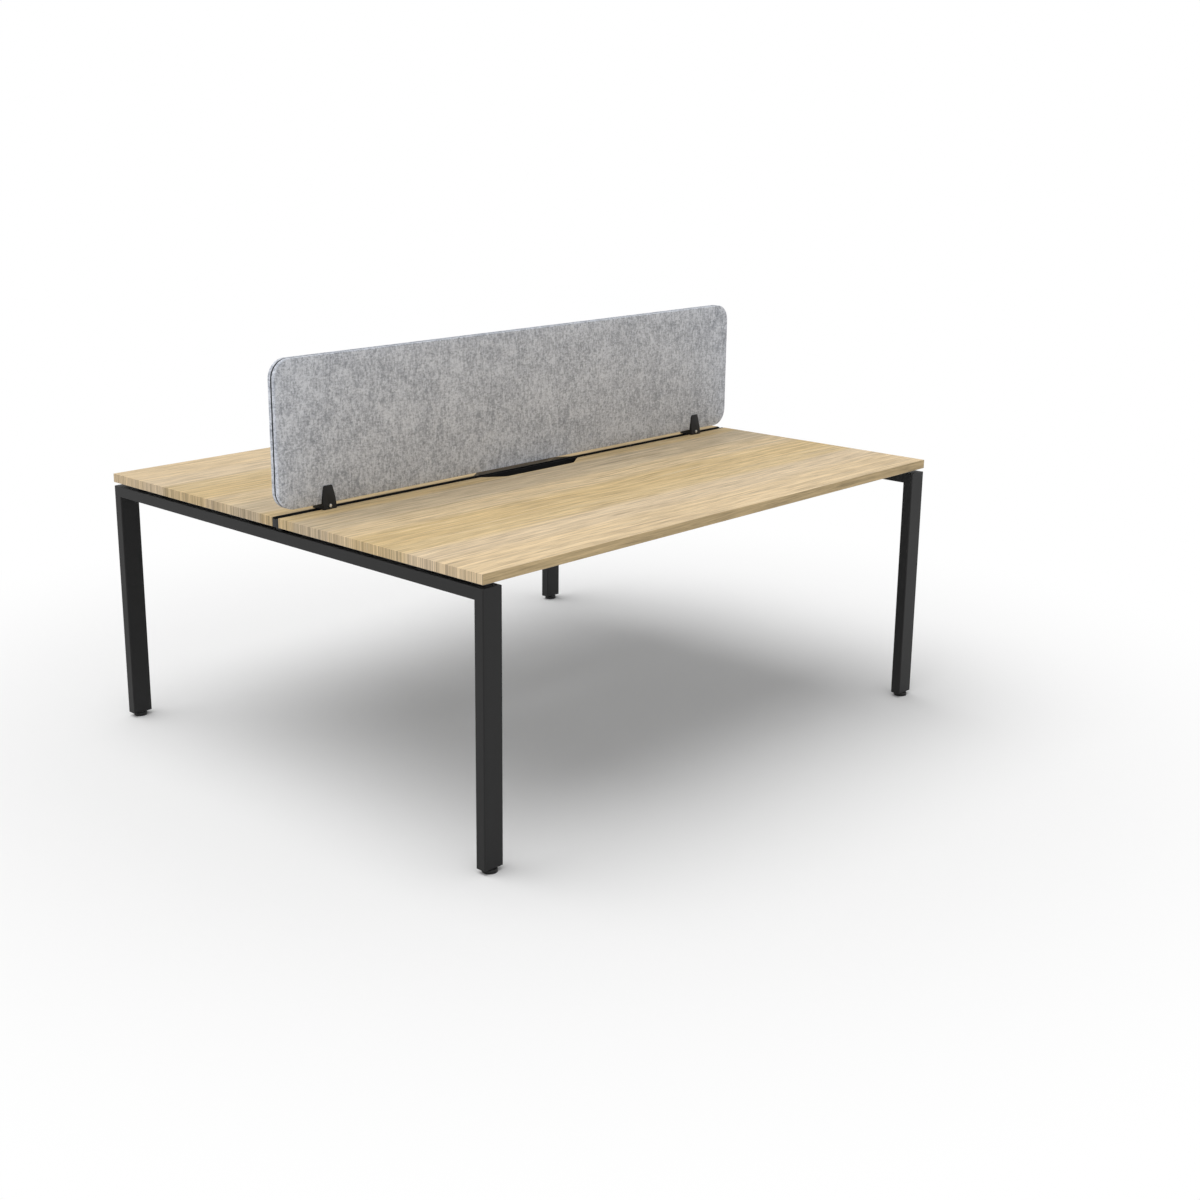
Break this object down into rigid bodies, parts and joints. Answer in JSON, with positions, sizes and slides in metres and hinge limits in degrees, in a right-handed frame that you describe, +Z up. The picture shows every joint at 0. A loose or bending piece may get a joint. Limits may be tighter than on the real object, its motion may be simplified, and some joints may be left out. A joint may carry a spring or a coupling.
{
  "type": "back-to-back workstation",
  "caption": "Back-to-back workstation: oak-finish worktops on a black steel leg frame, cable notches, central channel, clamped grey felt screen and levelling feet.",
  "frame": {"origin": "on the floor, at the centre of the desk", "axes": "+X along the desk's length, -Y towards the near side in the picture, +Z up"},
  "size_m": [1.8, 1.533, 1.13],
  "materials": {
    "oak_board": "light oak melamine, fine straight grain, matt",
    "oak_edging": "light oak edge band, matt",
    "frame_black": "black powder coat, fine texture",
    "channel_black": "black anodised, satin",
    "bracket_black": "black powder coat, fine texture",
    "plastic_black": "black moulded plastic, matt",
    "cap_grey": "dark grey moulded plastic, matt",
    "felt_grey": "grey marl pressed felt",
    "core_dark": "dark board, matt",
    "zinc_steel": "bright zinc plate",
    "black_steel": "black oxide"
  },
  "bodies": {
    "frame": {"beam_bolts": "black_steel", "beam_end_plates": "frame_black", "beam_weld_nuts": "zinc_steel", "bracket_base_screws": "zinc_steel", "bracket_pinch_bolts": "zinc_steel", "bracket_pinch_nuts": "zinc_steel", "channel_bolts": "zinc_steel", "channel_floor": "channel_black", "channel_nuts": "zinc_steel", "channel_sliding_nuts": "zinc_steel", "channel_support_blocks": "plastic_black", "foot_thread_nuts": "zinc_steel", "front_channel_lip": "channel_black", "front_channel_wall": "channel_black", "front_desktop_board": "oak_board", "front_desktop_edging": "oak_edging", "front_inner_beam": "frame_black", "front_outer_beam": "frame_black", "front_screen_panel": "felt_grey", "joining_plate_screws": "black_steel", "joining_plates": "frame_black", "left_bracket_base": "bracket_black", "left_channel_cap": "cap_grey", "left_cross_rail": "frame_black", "left_front_bracket_cheek": "bracket_black", "left_front_leg": "frame_black", "left_rear_bracket_cheek": "bracket_black", "left_rear_leg": "frame_black", "leg_end_plugs": "plastic_black", "rear_channel_lip": "channel_black", "rear_channel_wall": "channel_black", "rear_desktop_board": "oak_board", "rear_desktop_edging": "oak_edging", "rear_inner_beam": "frame_black", "rear_outer_beam": "frame_black", "rear_screen_panel": "felt_grey", "right_bracket_base": "bracket_black", "right_channel_cap": "cap_grey", "right_cross_rail": "frame_black", "right_front_bracket_cheek": "bracket_black", "right_front_leg": "frame_black", "right_rear_bracket_cheek": "bracket_black", "right_rear_leg": "frame_black", "screen_core": "core_dark", "top_fixing_screws": "black_steel", "top_insert_nuts": "zinc_steel", "top_spacers": "plastic_black"},
    "left_front_pad": {"left_front_foot_pad": "plastic_black"},
    "left_front_stud": {"left_front_foot_stud": "zinc_steel"},
    "left_rear_pad": {"left_rear_foot_pad": "plastic_black"},
    "left_rear_stud": {"left_rear_foot_stud": "zinc_steel"},
    "right_front_pad": {"right_front_foot_pad": "plastic_black"},
    "right_front_stud": {"right_front_foot_stud": "zinc_steel"},
    "right_rear_pad": {"right_rear_foot_pad": "plastic_black"},
    "right_rear_stud": {"right_rear_foot_stud": "zinc_steel"}
  },
  "joints": [
    {"name": "left_front_foot_height", "type": "slide", "parent": "frame", "child": "left_front_pad", "axis": [0, 0, -1], "range_m": [0, 0.015]},
    {"name": "left_front_stud_turn", "type": "hinge", "parent": "left_front_pad", "child": "left_front_stud", "pos_m": [-0.87, -0.7475, 0], "axis": [0, 0, -1], "range_deg": [0, 4320]},
    {"name": "left_rear_foot_height", "type": "slide", "parent": "frame", "child": "left_rear_pad", "axis": [0, 0, -1], "range_m": [0, 0.015]},
    {"name": "left_rear_stud_turn", "type": "hinge", "parent": "left_rear_pad", "child": "left_rear_stud", "pos_m": [-0.87, 0.7475, 0], "axis": [0, 0, -1], "range_deg": [0, 4320]},
    {"name": "right_front_foot_height", "type": "slide", "parent": "frame", "child": "right_front_pad", "axis": [0, 0, -1], "range_m": [0, 0.015]},
    {"name": "right_front_stud_turn", "type": "hinge", "parent": "right_front_pad", "child": "right_front_stud", "pos_m": [0.87, -0.7475, 0], "axis": [0, 0, -1], "range_deg": [0, 4320]},
    {"name": "right_rear_foot_height", "type": "slide", "parent": "frame", "child": "right_rear_pad", "axis": [0, 0, -1], "range_m": [0, 0.015]},
    {"name": "right_rear_stud_turn", "type": "hinge", "parent": "right_rear_pad", "child": "right_rear_stud", "pos_m": [0.87, 0.7475, 0], "axis": [0, 0, -1], "range_deg": [0, 4320]}
  ],
  "couplings": [
    {"joint": "left_front_stud_turn", "follows": "left_front_foot_height", "rad_per_m": 5026.5},
    {"joint": "left_rear_stud_turn", "follows": "left_rear_foot_height", "rad_per_m": 5026.5},
    {"joint": "right_front_stud_turn", "follows": "right_front_foot_height", "rad_per_m": 5026.5},
    {"joint": "right_rear_stud_turn", "follows": "right_rear_foot_height", "rad_per_m": 5026.5}
  ]
}
